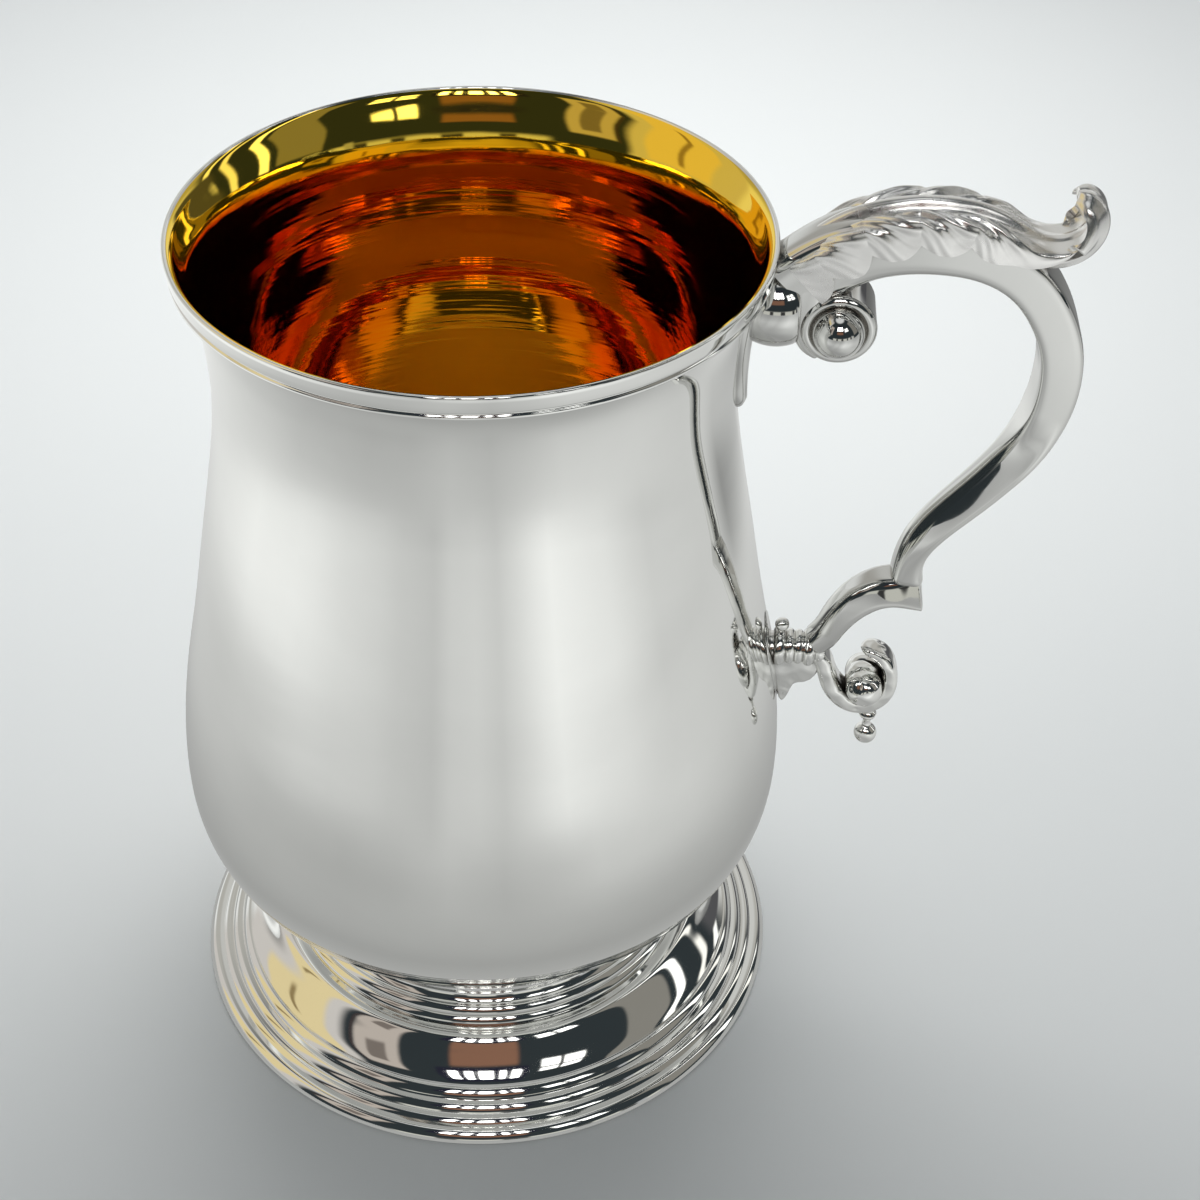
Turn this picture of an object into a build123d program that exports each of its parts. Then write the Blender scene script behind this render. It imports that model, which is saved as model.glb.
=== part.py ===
"""Baluster pint tankard with a double-scroll handle, a stepped spread foot and a gilt interior.

Millimetres, +Z up. The origin is the centre of the foot on the surface that the tankard stands on.
The handle lies in the XZ plane on the +X side, so +Y is the left side for someone holding it.
The body and foot are spun shells, the handle is a hollow casting in two halves, and the leaf,
volutes, collar and tail are separate castings soldered on.
"""

from build123d import *
import math
import os

# ---------------------------------------------------------------- driving dimensions
HEIGHT = 137.9  # foot to lip
LIP_R = 40.8  # outer radius of the spun wall at the lip
WALL = 1.0  # thickness of the spun body wall
GILT = 0.25  # thickness given to the gilt layer
BAND_Z = 134.9  # lower edge of the rim band
BAND_R = 41.25  # outer radius of the rim band
SEAT_Z = 19.6  # underside of the body, where it stands on the foot collar
SEAT_R = 25.6  # radius of the flat underside
FOOT_R = 48.2  # radius of the base wire on the table
COLLAR_Z = 16.0  # joint plane between the foot collar and the spun foot
WIRE_Z = 2.2  # top of the base wire
SOCKET_Z = 128.0  # axis height of the upper socket
LOWER_Z = 66.6  # axis height of the lower collar
HANDLE_WALL = 0.9  # thickness of the hollow cast handle
UPPER_PLATE = 1.4  # thickness of the plate on the neck
LOWER_PLATE = 0.6  # thickness of the plate on the belly

# outer line of the body from the lip down to the seat, as (radius, height)
BODY = [
    (LIP_R, HEIGHT),
    (40.2, 136.3),
    (39.45, 134.4),
    (38.75, 132.6),
    (38.0, 130.0),
    (37.4, 126.0),
    (37.0, 121.0),
    (36.87, 116.5),
    (37.05, 112.0),
    (37.6, 107.0),
    (38.7, 100.0),
    (39.6, 95.0),
    (41.4, 85.0),
    (43.2, 75.0),
    (45.2, 65.0),
    (46.7, 55.0),
    (47.2, 46.5),
    (46.7, 40.0),
    (44.9, 35.0),
    (41.1, 30.0),
    (36.2, 26.0),
    (31.0, 22.6),
    (SEAT_R, SEAT_Z),
]


def inset(points, by):
    """The line moved inwards along its own normals by a distance."""
    moved = []
    for i, (r, z) in enumerate(points):
        a = points[max(i - 1, 0)]
        b = points[min(i + 1, len(points) - 1)]
        dr, dz = b[0] - a[0], b[1] - a[1]
        length = math.hypot(dr, dz)
        moved.append((r + dz / length * by, z - dr / length * by))
    return moved


def lined(points, by, lip_r, floor_z):
    """An inset line that starts level with the lip and ends level with the cup's floor. The wall thins towards the lip."""
    line = inset(points, by)
    line[0] = (lip_r, HEIGHT)
    line[1] = ((line[1][0] + lip_r + by - WALL - 0.12) / 2, points[1][1])
    line[-1] = (points[-1][0] - 1.2, floor_z)
    return line


WALL_LINE = lined(BODY, WALL, LIP_R - 0.6, SEAT_Z + 1.2)
GILT_LINE = lined(BODY, WALL + GILT, LIP_R - 0.8, SEAT_Z + 1.2 + GILT)

os.makedirs("parts", exist_ok=True)


# ---------------------------------------------------------------- filled body, used to seat what is soldered on
with BuildPart(mode=Mode.PRIVATE) as envelope:
    with BuildSketch(Plane.XZ):
        with BuildLine():
            Spline(*BODY)
            Polyline(BODY[-1], (0, SEAT_Z), (0, HEIGHT), BODY[0])
        make_face()
    revolve(axis=Axis.Z)

# ---------------------------------------------------------------- spun body with its flat floor
with BuildPart() as vessel_body:
    with BuildSketch(Plane.XZ):
        with BuildLine():
            Spline(*BODY)
            Polyline(BODY[-1], (0, SEAT_Z), (0, WALL_LINE[-1][1]), WALL_LINE[-1])
            Spline(*reversed(WALL_LINE))
            Line(WALL_LINE[0], BODY[0])
        make_face()
    revolve(axis=Axis.Z)
vessel_body.part.label = "vessel_body"
export_step(vessel_body.part, "parts/vessel_body.step")

# ---------------------------------------------------------------- gilt layer that covers the whole inside
with BuildPart() as gilt_lining:
    with BuildSketch(Plane.XZ):
        with BuildLine():
            Spline(*WALL_LINE)
            Polyline(WALL_LINE[-1], (0, WALL_LINE[-1][1]), (0, GILT_LINE[-1][1]), GILT_LINE[-1])
            Spline(*reversed(GILT_LINE))
            Line(GILT_LINE[0], WALL_LINE[0])
        make_face()
    revolve(axis=Axis.Z)
gilt_lining.part.label = "gilt_lining"
export_step(gilt_lining.part, "parts/gilt_lining.step")

# ---------------------------------------------------------------- band soldered round the lip
with BuildPart() as rim_band:
    with BuildSketch(Plane.XZ):
        with BuildLine():
            Line((38.0, HEIGHT), (BAND_R - 0.3, HEIGHT))
            ThreePointArc((BAND_R - 0.3, HEIGHT), (BAND_R - 0.09, HEIGHT - 0.09), (BAND_R, HEIGHT - 0.3))
            Line((BAND_R, HEIGHT - 0.3), (BAND_R - 0.3, BAND_Z + 0.4))
            ThreePointArc((BAND_R - 0.3, BAND_Z + 0.4), (BAND_R - 0.45, BAND_Z + 0.1), (BAND_R - 0.75, BAND_Z))
            Polyline((BAND_R - 0.75, BAND_Z), (38.0, BAND_Z), (38.0, HEIGHT))
        make_face()
    revolve(axis=Axis.Z)
    add(envelope.part, mode=Mode.SUBTRACT)
rim_band.part.label = "rim_band"
export_step(rim_band.part, "parts/rim_band.step")

# ---------------------------------------------------------------- ring between body and foot
with BuildPart() as foot_collar:
    with BuildSketch(Plane.XZ):
        with BuildLine():
            Polyline((23.2, SEAT_Z), (27.6, SEAT_Z), (30.1, 18.65))
            ThreePointArc((30.1, 18.65), (31.45, 17.4), (30.3, COLLAR_Z))
            Polyline((30.3, COLLAR_Z), (26.0, COLLAR_Z), (23.2, 18.4), (23.2, SEAT_Z))
        make_face()
    revolve(axis=Axis.Z)
    add(envelope.part, mode=Mode.SUBTRACT)
foot_collar.part.label = "foot_collar"
export_step(foot_collar.part, "parts/foot_collar.step")

# ---------------------------------------------------------------- spun foot: neck, two reeds, ogee and stepped rim
with BuildPart() as foot:
    with BuildSketch(Plane.XZ):
        with BuildLine():
            Line((27.0, COLLAR_Z), (30.2, COLLAR_Z))
            ThreePointArc((30.2, COLLAR_Z), (30.35, 15.0), (31.35, 14.1))
            ThreePointArc((31.35, 14.1), (32.45, 13.55), (32.1, 12.6))
            ThreePointArc((32.1, 12.6), (33.3, 12.15), (33.1, 11.15))
            Line((33.1, 11.15), (34.6, 11.12))
            Spline((34.6, 11.12), (36.0, 10.5), (37.5, 8.82), (39.2, 7.08), (40.8, 5.92))
            Line((40.8, 5.92), (40.95, 5.25))
            ThreePointArc((40.95, 5.25), (41.85, 4.95), (42.35, 4.0))
            ThreePointArc((42.35, 4.0), (43.6, 3.85), (44.2, 3.3))
            ThreePointArc((44.2, 3.3), (45.1, 3.2), (45.5, 2.8))
            ThreePointArc((45.5, 2.8), (46.5, 2.7), (47.0, WIRE_Z))
            Polyline(
                (47.0, WIRE_Z),
                (44.6, WIRE_Z),
                (40.2, 3.6),
                (37.2, 5.8),
                (35.6, 8.6),
                (33.0, 9.9),
                (31.4, 10.4),
                (29.2, 13.2),
                (27.0, COLLAR_Z),
            )
        make_face()
    revolve(axis=Axis.Z)
foot.part.label = "foot"
export_step(foot.part, "parts/foot.step")

# ---------------------------------------------------------------- base wire that meets the table
with BuildPart() as foot_base_wire:
    with BuildSketch(Plane.XZ):
        with BuildLine():
            Polyline((45.4, 0), (47.7, 0))
            ThreePointArc((47.7, 0), (FOOT_R, 0.9), (47.4, WIRE_Z))
            Polyline((47.4, WIRE_Z), (44.8, WIRE_Z), (45.4, 0))
        make_face()
    revolve(axis=Axis.Z)
foot_base_wire.part.label = "foot_base_wire"
export_step(foot_base_wire.part, "parts/foot_base_wire.step")

# ---------------------------------------------------------------- plates soldered to the body under the handle's two ends
with BuildPart(mode=Mode.PRIVATE) as upper_plate_envelope:
    with BuildSketch(Plane.XZ):
        with BuildLine():
            PLATE = [(r, z) for r, z in inset(BODY, -UPPER_PLATE)[2:-2]]
            Spline(*PLATE)
            Polyline(PLATE[-1], (0, PLATE[-1][1]), (0, PLATE[0][1]), PLATE[0])
        make_face()
    revolve(axis=Axis.Z)

with BuildPart(mode=Mode.PRIVATE) as lower_plate_envelope:
    with BuildSketch(Plane.XZ):
        with BuildLine():
            PLATE = [(r, z) for r, z in inset(BODY, -LOWER_PLATE)[2:-2]]
            Spline(*PLATE)
            Polyline(PLATE[-1], (0, PLATE[-1][1]), (0, PLATE[0][1]), PLATE[0])
        make_face()
    revolve(axis=Axis.Z)

with BuildPart() as upper_escutcheon:
    with BuildSketch(Plane.YZ.offset(20)):
        with BuildLine():
            Polyline((-6.2, 132.6), (6.2, 132.6), (6.0, 124.0))
            ThreePointArc((6.0, 124.0), (4.1, 119.0), (2.7, 113.6))
            ThreePointArc((2.7, 113.6), (0, 111.2), (-2.7, 113.6))
            ThreePointArc((-2.7, 113.6), (-4.1, 119.0), (-6.0, 124.0))
            Line((-6.0, 124.0), (-6.2, 132.6))
        make_face()
    extrude(amount=30)
    add(upper_plate_envelope.part, mode=Mode.INTERSECT)
    add(envelope.part, mode=Mode.SUBTRACT)
upper_escutcheon.part.label = "upper_escutcheon"
export_step(upper_escutcheon.part, "parts/upper_escutcheon.step")

with BuildPart() as lower_escutcheon:
    with BuildSketch(Plane.YZ.offset(20)):
        with BuildLine():
            ThreePointArc((0, 73.0), (3.3, 70.6), (4.2, LOWER_Z))
            ThreePointArc((4.2, LOWER_Z), (3.2, 61.0), (0, 56.4))
            ThreePointArc((0, 56.4), (-3.2, 61.0), (-4.2, LOWER_Z))
            ThreePointArc((-4.2, LOWER_Z), (-3.3, 70.6), (0, 73.0))
        make_face()
    extrude(amount=40)
    add(lower_plate_envelope.part, mode=Mode.INTERSECT)
    add(envelope.part, mode=Mode.SUBTRACT)
lower_escutcheon.part.label = "lower_escutcheon"
export_step(lower_escutcheon.part, "parts/lower_escutcheon.step")

# ---------------------------------------------------------------- upper socket: a plain barrel on a level axis
with BuildPart() as upper_socket:
    with BuildSketch(Plane.XZ):
        with BuildLine():
            Polyline((30.0, SOCKET_Z), (30.0, SOCKET_Z + 5.2), (38.2, SOCKET_Z + 5.2))
            ThreePointArc((38.2, SOCKET_Z + 5.2), (41.3, SOCKET_Z + 5.9), (43.8, SOCKET_Z + 5.5))
            Polyline((43.8, SOCKET_Z + 5.5), (43.8, SOCKET_Z), (30.0, SOCKET_Z))
        make_face()
    revolve(axis=Axis((0, 0, SOCKET_Z), (1, 0, 0)))
    add(envelope.part, mode=Mode.SUBTRACT)
    add(upper_escutcheon.part, mode=Mode.SUBTRACT)
    add(rim_band.part, mode=Mode.SUBTRACT)
upper_socket.part.label = "upper_socket"
export_step(upper_socket.part, "parts/upper_socket.step")

# ---------------------------------------------------------------- main scroll: hollow, cast in two halves
# (x, z, direction in degrees from +X towards +Z, half depth, half width)
SCROLL = [
    (43.9, 131.6, 46, 5.5, 3.7),
    (47.2, 134.9, 41, 5.1, 3.8),
    (51.2, 137.5, 26, 4.7, 4.0),
    (56.8, 139.0, 8, 4.2, 4.2),
    (63.0, 139.1, -6, 3.8, 4.3),
    (69.0, 137.8, -22, 3.4, 4.3),
    (74.0, 134.9, -41, 3.1, 4.3),
    (77.8, 130.2, -60, 3.0, 4.25),
    (80.2, 124.5, -75, 2.95, 4.2),
    (80.8, 118.5, -91, 2.9, 4.1),
    (80.2, 113.6, -103, 2.85, 4.0),
    (78.6, 109.0, -115, 2.8, 3.9),
    (75.6, 103.9, -124, 2.7, 3.7),
    (72.0, 98.9, -128, 2.6, 3.5),
    (68.0, 93.9, -126, 2.45, 3.3),
    (65.2, 89.3, -113, 2.3, 3.1),
    (64.1, 85.0, -96, 2.2, 2.9),
    (63.9, 81.8, -91, 2.2, 2.9),
]


def station(x, z, degrees):
    """The plane across the scroll at one station: local x is +Y, and local y is across its depth."""
    a = math.radians(degrees)
    return Plane(origin=(x, 0, z), x_dir=(0, 1, 0), z_dir=(math.cos(a), 0, math.sin(a)))


with BuildPart(mode=Mode.PRIVATE) as scroll_outer:
    for x, z, degrees, half_depth, half_width in SCROLL:
        with BuildSketch(station(x, z, degrees)):
            RectangleRounded(2 * half_width, 2 * half_depth, 0.62 * half_depth)
    loft()

with BuildPart(mode=Mode.PRIVATE) as scroll_cavity:
    for x, z, degrees, half_depth, half_width in SCROLL[1:-2]:
        with BuildSketch(station(x, z, degrees)):
            RectangleRounded(
                2 * (half_width - HANDLE_WALL),
                2 * (half_depth - HANDLE_WALL),
                0.6 * (half_depth - HANDLE_WALL),
            )
    loft()

# the scroll's head is filled out down to the volute, cut square where it meets the socket, and just clear of the lip
with BuildPart(mode=Mode.PRIVATE) as scroll_head:
    with BuildSketch(Plane.XZ.offset(-3.6)):
        with BuildLine():
            Polyline((43.8, 122.8), (43.8, 134.8), (47.0, 135.2), (50.0, 131.0), (48.6, 121.6), (45.6, 121.4), (43.8, 122.8))
        make_face()
    extrude(amount=7.2)

with BuildPart(mode=Mode.PRIVATE) as head_clearance:
    with BuildSketch(Plane.YZ.offset(30)):
        with Locations((0, SOCKET_Z)):
            Circle(7.0)
    extrude(amount=13.8)
    with BuildSketch(Plane.YZ.offset(30)):
        with Locations((0, SOCKET_Z)):
            Rectangle(30, 40)
    extrude(amount=11.6)

VOLUTE_X, VOLUTE_Z, VOLUTE_R, VOLUTE_W = 49.9, 126.5, 5.2, 4.3
with BuildPart(mode=Mode.PRIVATE) as volute_clearance:
    with BuildSketch(Plane.XZ.offset(-10)):
        with Locations((VOLUTE_X, VOLUTE_Z)):
            Circle(VOLUTE_R)
    extrude(amount=20)

with BuildPart() as handle_half_left:
    add(scroll_outer.part)
    add(scroll_head.part)
    add(scroll_cavity.part, mode=Mode.SUBTRACT)
    add(head_clearance.part, mode=Mode.SUBTRACT)
    add(volute_clearance.part, mode=Mode.SUBTRACT)
    split(bisect_by=Plane.XZ, keep=Keep.BOTTOM)
handle_half_left.part.label = "handle_half_left"
export_step(handle_half_left.part, "parts/handle_half_left.step")

with BuildPart() as handle_half_right:
    mirror(handle_half_left.part, about=Plane.XZ)
handle_half_right.part.label = "handle_half_right"
export_step(handle_half_right.part, "parts/handle_half_right.step")

# ---------------------------------------------------------------- upper volute: a roll under the scroll's head, with a boss on each end
with BuildPart() as upper_volute:
    with BuildSketch(Plane.XZ.offset(-VOLUTE_W)):
        with Locations((VOLUTE_X, VOLUTE_Z)):
            Circle(VOLUTE_R)
    extrude(amount=2 * VOLUTE_W)
    fillet(upper_volute.edges().filter_by(GeomType.CIRCLE), 0.6)
upper_volute.part.label = "upper_volute"
export_step(upper_volute.part, "parts/upper_volute.step")


def dome(base_r, base_h, top_h):
    """The middle point of a dome's line, from (base_r, base_h) up to (0, top_h), with its centre on the axis."""
    rise = top_h - base_h
    ball = (base_r**2 + rise**2) / (2 * rise)
    half = math.asin(min(1.0, base_r / ball)) / 2
    if rise > ball:
        half = (math.pi - math.asin(base_r / ball)) / 2
    return ball * math.sin(half), top_h - ball + ball * math.cos(half)


with BuildPart() as volute_boss_left:
    with BuildSketch(Plane(origin=(VOLUTE_X, VOLUTE_W, VOLUTE_Z), x_dir=(1, 0, 0), z_dir=(0, 0, 1))):
        with BuildLine():
            Polyline((0, 0), (3.8, 0), (3.8, 0.5))
            ThreePointArc((3.8, 0.5), dome(3.8, 0.5, 3.7), (0, 3.7))
            Line((0, 3.7), (0, 0))
        make_face()
    revolve(axis=Axis((VOLUTE_X, 0, VOLUTE_Z), (0, 1, 0)))
volute_boss_left.part.label = "volute_boss_left"
export_step(volute_boss_left.part, "parts/volute_boss_left.step")

with BuildPart() as volute_boss_right:
    mirror(volute_boss_left.part, about=Plane.XZ)
volute_boss_right.part.label = "volute_boss_right"
export_step(volute_boss_right.part, "parts/volute_boss_right.step")

# ---------------------------------------------------------------- acanthus leaf laid over the top of the scroll
LEAF = [
    (47.4, 135.1, 41, 5.1, 3.8, 0.7, 0.3),
    (51.2, 137.5, 26, 4.7, 4.0, 1.0, 0.8),
    (56.8, 139.0, 8, 4.2, 4.2, 1.5, 1.1),
    (63.0, 139.1, -6, 3.8, 4.3, 1.9, 1.3),
    (69.0, 137.8, -22, 3.4, 4.3, 2.2, 1.2),
    (73.6, 135.2, -40, 3.1, 4.3, 2.6, 0.9),
]
with BuildPart() as acanthus_leaf:
    for x, z, degrees, half_depth, half_width, rise, spread in LEAF:
        a = math.radians(degrees)
        low = -0.1 * half_depth
        high = half_depth + rise
        mid = (low + high) / 2
        with BuildSketch(station(x - math.sin(a) * mid, z + math.cos(a) * mid, degrees)):
            RectangleRounded(2 * (half_width + spread), high - low, 1.2)
    loft()
    add(scroll_outer.part, mode=Mode.SUBTRACT)
    add(scroll_head.part, mode=Mode.SUBTRACT)
    add(upper_volute.part, mode=Mode.SUBTRACT)
acanthus_leaf.part.label = "acanthus_leaf"
export_step(acanthus_leaf.part, "parts/acanthus_leaf.step")

# ---------------------------------------------------------------- leaf tip that curls up as a thumb rest
with BuildPart() as thumb_scroll:
    with BuildSketch(Plane.XZ.offset(-4.2)):
        with BuildLine():
            ThreePointArc((73.2, 139.0), (76.6, 141.2), (78.4, 145.4))
            ThreePointArc((78.4, 145.4), (79.8, 146.4), (81.3, 145.0))
            ThreePointArc((81.3, 145.0), (82.3, 141.6), (80.2, 137.6))
            ThreePointArc((80.2, 137.6), (77.4, 135.2), (73.8, 134.2))
            Line((73.8, 134.2), (73.2, 139.0))
        make_face()
    extrude(amount=8.4)
    add(scroll_outer.part, mode=Mode.SUBTRACT)
    add(acanthus_leaf.part, mode=Mode.SUBTRACT)
thumb_scroll.part.label = "thumb_scroll"
export_step(thumb_scroll.part, "parts/thumb_scroll.step")

# ---------------------------------------------------------------- lower collar: five turned rings on a level axis
with BuildPart() as lower_collar:
    with BuildSketch(Plane.XZ):
        with BuildLine():
            Line((40.0, LOWER_Z), (40.0, LOWER_Z + 2.3))
            Line((40.0, LOWER_Z + 2.3), (45.6, LOWER_Z + 2.3))
            ThreePointArc((45.6, LOWER_Z + 2.3), (46.4, LOWER_Z + 3.1), (47.2, LOWER_Z + 2.3))
            ThreePointArc((47.2, LOWER_Z + 2.3), (47.9, LOWER_Z + 2.8), (48.6, LOWER_Z + 2.2))
            ThreePointArc((48.6, LOWER_Z + 2.2), (49.3, LOWER_Z + 2.7), (50.0, LOWER_Z + 2.2))
            ThreePointArc((50.0, LOWER_Z + 2.2), (50.8, LOWER_Z + 3.0), (51.6, LOWER_Z + 2.2))
            Polyline((51.6, LOWER_Z + 2.2), (52.8, LOWER_Z + 2.4), (52.8, LOWER_Z), (40.0, LOWER_Z))
        make_face()
    revolve(axis=Axis((0, 0, LOWER_Z), (1, 0, 0)))
    add(envelope.part, mode=Mode.SUBTRACT)
    add(lower_escutcheon.part, mode=Mode.SUBTRACT)
lower_collar.part.label = "lower_collar"
export_step(lower_collar.part, "parts/lower_collar.step")

# ---------------------------------------------------------------- small knob standing on the collar
KNOB_FOOT = LOWER_Z + 4.3 - math.sqrt(1.1**2 - 0.55**2)
with BuildPart() as collar_knob:
    with BuildSketch(Plane.XZ):
        with BuildLine():
            Line((46.4, LOWER_Z + 1.6), (47.3, LOWER_Z + 1.6))
            Line((47.3, LOWER_Z + 1.6), (46.95, KNOB_FOOT))
            ThreePointArc((46.95, KNOB_FOOT), (47.5, LOWER_Z + 4.3), (46.4, LOWER_Z + 5.4))
            Line((46.4, LOWER_Z + 5.4), (46.4, LOWER_Z + 1.6))
        make_face()
    revolve(axis=Axis((46.4, 0, 0), (0, 0, 1)))
    add(lower_collar.part, mode=Mode.SUBTRACT)
collar_knob.part.label = "collar_knob"
export_step(collar_knob.part, "parts/collar_knob.step")

# ---------------------------------------------------------------- lower scroll: from the stepped shoulder down to the collar
ARM = [
    (66.4, 80.6, -168, 2.4, 3.1),
    (63.4, 80.3, -171, 2.2, 3.0),
    (60.8, 79.8, -160, 2.2, 2.9),
    (58.0, 78.0, -139, 2.2, 2.85),
    (55.7, 75.3, -122, 2.1, 2.75),
    (54.1, 72.3, -117, 2.0, 2.6),
    (52.7, 69.6, -126, 2.0, 2.5),
    (51.2, 67.6, -140, 2.0, 2.4),
]
with BuildPart() as lower_scroll:
    for x, z, degrees, half_depth, half_width in ARM:
        with BuildSketch(station(x, z, degrees)):
            RectangleRounded(2 * half_width, 2 * half_depth, 0.45 * half_depth)
    loft()
    add(scroll_outer.part, mode=Mode.SUBTRACT)
    add(lower_collar.part, mode=Mode.SUBTRACT)
lower_scroll.part.label = "lower_scroll"
export_step(lower_scroll.part, "parts/lower_scroll.step")

# ---------------------------------------------------------------- pointed drop under the collar
with BuildPart() as collar_drop:
    with BuildSketch(Plane.XZ.offset(-1.5)):
        with BuildLine():
            Line((45.0, LOWER_Z), (52.2, LOWER_Z))
            ThreePointArc((52.2, LOWER_Z), (52.4, 62.2), (50.9, 60.4))
            ThreePointArc((50.9, 60.4), (49.2, 59.8), (48.6, 58.6))
            Line((48.6, 58.6), (47.3, 56.2))
            Line((47.3, 56.2), (46.0, 59.4))
            Line((46.0, 59.4), (45.0, LOWER_Z))
        make_face()
    extrude(amount=3.0)
    add(envelope.part, mode=Mode.SUBTRACT)
    add(lower_escutcheon.part, mode=Mode.SUBTRACT)
    add(lower_collar.part, mode=Mode.SUBTRACT)
    add(lower_scroll.part, mode=Mode.SUBTRACT)
collar_drop.part.label = "collar_drop"
export_step(collar_drop.part, "parts/collar_drop.step")

# ---------------------------------------------------------------- tail scroll that curls up under the collar
TAIL_X, TAIL_Z = 59.9, 60.6
with BuildPart() as tail_scroll:
    with BuildSketch(Plane.XZ.offset(-2.7)):
        with BuildLine():
            Line((51.6, 66.8), (54.9, 66.2))
            ThreePointArc((54.9, 66.2), (55.1, 64.6), (56.0, 63.2))
            Spline(
                (56.0, 63.2),
                (56.8, 61.9),
                (58.4, 61.0),
                (60.4, 61.2),
                (61.7, 62.8),
                (61.4, 65.2),
                (60.2, 66.8),
            )
            Line((60.2, 66.8), (60.9, 68.0))
            Spline(
                (60.9, 68.0),
                (63.0, 66.9),
                (64.6, 64.4),
                (65.2, 61.0),
                (64.6, 57.8),
                (62.6, 55.6),
                (59.9, 55.0),
                (56.8, 56.0),
                (54.2, 58.8),
                (52.9, 62.2),
                (52.6, 64.6),
            )
            Line((52.6, 64.6), (51.6, 66.8))
        make_face()
    extrude(amount=5.4)
    add(lower_collar.part, mode=Mode.SUBTRACT)
    add(lower_scroll.part, mode=Mode.SUBTRACT)
    add(collar_drop.part, mode=Mode.SUBTRACT)
tail_scroll.part.label = "tail_scroll"
export_step(tail_scroll.part, "parts/tail_scroll.step")

with BuildPart() as tail_boss_left:
    with BuildSketch(Plane(origin=(TAIL_X, 2.7, TAIL_Z), x_dir=(1, 0, 0), z_dir=(0, 0, 1))):
        with BuildLine():
            Line((0, 0), (3.5, 0))
            ThreePointArc((3.5, 0), dome(3.5, 0, 2.6), (0, 2.6))
            Line((0, 2.6), (0, 0))
        make_face()
    revolve(axis=Axis((TAIL_X, 0, TAIL_Z), (0, 1, 0)))
tail_boss_left.part.label = "tail_boss_left"
export_step(tail_boss_left.part, "parts/tail_boss_left.step")

with BuildPart() as tail_boss_right:
    mirror(tail_boss_left.part, about=Plane.XZ)
tail_boss_right.part.label = "tail_boss_right"
export_step(tail_boss_right.part, "parts/tail_boss_right.step")

# ---------------------------------------------------------------- pip that hangs from the tail
PIP_X, PIP_Z = 61.2, 49.4
with BuildPart() as tail_pip:
    with BuildSketch(Plane.XZ):
        with BuildLine():
            ThreePointArc((PIP_X, PIP_Z - 1.8), (PIP_X + 1.8, PIP_Z), (PIP_X + 0.65, PIP_Z + 1.68))
            Line((PIP_X + 0.65, PIP_Z + 1.68), (PIP_X + 0.65, 53.2))
            Line((PIP_X + 0.65, 53.2), (PIP_X + 1.4, 54.2))
            Line((PIP_X + 1.4, 54.2), (PIP_X + 1.4, 56.6))
            Line((PIP_X + 1.4, 56.6), (PIP_X, 56.6))
            Line((PIP_X, 56.6), (PIP_X, PIP_Z - 1.8))
        make_face()
    revolve(axis=Axis((PIP_X, 0, 0), (0, 0, 1)))
    add(tail_scroll.part, mode=Mode.SUBTRACT)
tail_pip.part.label = "tail_pip"
export_step(tail_pip.part, "parts/tail_pip.step")
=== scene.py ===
"""Looks of the baluster pint tankard: lathe-turned cup and foot, sculpted double-scroll handle, gilt interior.

Lengths in the tables below are millimetres in the CAD frame; MM turns them into metres when a mesh is made.
"""

import math

import bpy
import numpy as np
from mathutils import Matrix, Vector


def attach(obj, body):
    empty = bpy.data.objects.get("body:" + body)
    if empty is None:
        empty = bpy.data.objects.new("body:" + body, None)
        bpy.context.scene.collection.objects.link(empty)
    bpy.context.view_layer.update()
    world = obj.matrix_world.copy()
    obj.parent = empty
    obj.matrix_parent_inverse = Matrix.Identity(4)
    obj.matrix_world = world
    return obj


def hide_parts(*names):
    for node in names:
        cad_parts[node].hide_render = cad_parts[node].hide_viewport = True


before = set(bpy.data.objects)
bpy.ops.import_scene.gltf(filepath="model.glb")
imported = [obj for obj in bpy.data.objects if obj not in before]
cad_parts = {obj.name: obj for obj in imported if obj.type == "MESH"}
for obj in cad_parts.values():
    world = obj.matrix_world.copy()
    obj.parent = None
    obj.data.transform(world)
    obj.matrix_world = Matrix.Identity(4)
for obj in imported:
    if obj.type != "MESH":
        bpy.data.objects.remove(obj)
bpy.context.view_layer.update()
MM = 0.001
TURN = 224  # segments round a spun piece


# ---------------------------------------------------------------- curves
def spline(points, count):
    """Natural cubic spline through the points (rows of any width), sampled evenly along its chord length."""
    p = np.asarray(points, float)
    n = len(p)
    s = np.concatenate([[0], np.cumsum(np.linalg.norm(np.diff(p[:, :2], axis=0), axis=1))])
    h = np.diff(s)
    a = np.zeros((n, n))
    b = np.zeros((n, p.shape[1]))
    a[0, 0] = a[-1, -1] = 1
    for i in range(1, n - 1):
        a[i, i - 1], a[i, i], a[i, i + 1] = h[i - 1], 2 * (h[i - 1] + h[i]), h[i]
        b[i] = 6 * ((p[i + 1] - p[i]) / h[i] - (p[i] - p[i - 1]) / h[i - 1])
    m = np.linalg.solve(a, b)
    t = np.linspace(0, s[-1], count)
    i = np.clip(np.searchsorted(s, t, side="right") - 1, 0, n - 2)
    d, hi = (t - s[i])[:, None], h[i][:, None]
    return (
        m[i] * (hi - d) ** 3 / (6 * hi)
        + m[i + 1] * d**3 / (6 * hi)
        + (p[i] / hi - m[i] * hi / 6) * (hi - d)
        + (p[i + 1] / hi - m[i + 1] * hi / 6) * d
    )


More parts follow.
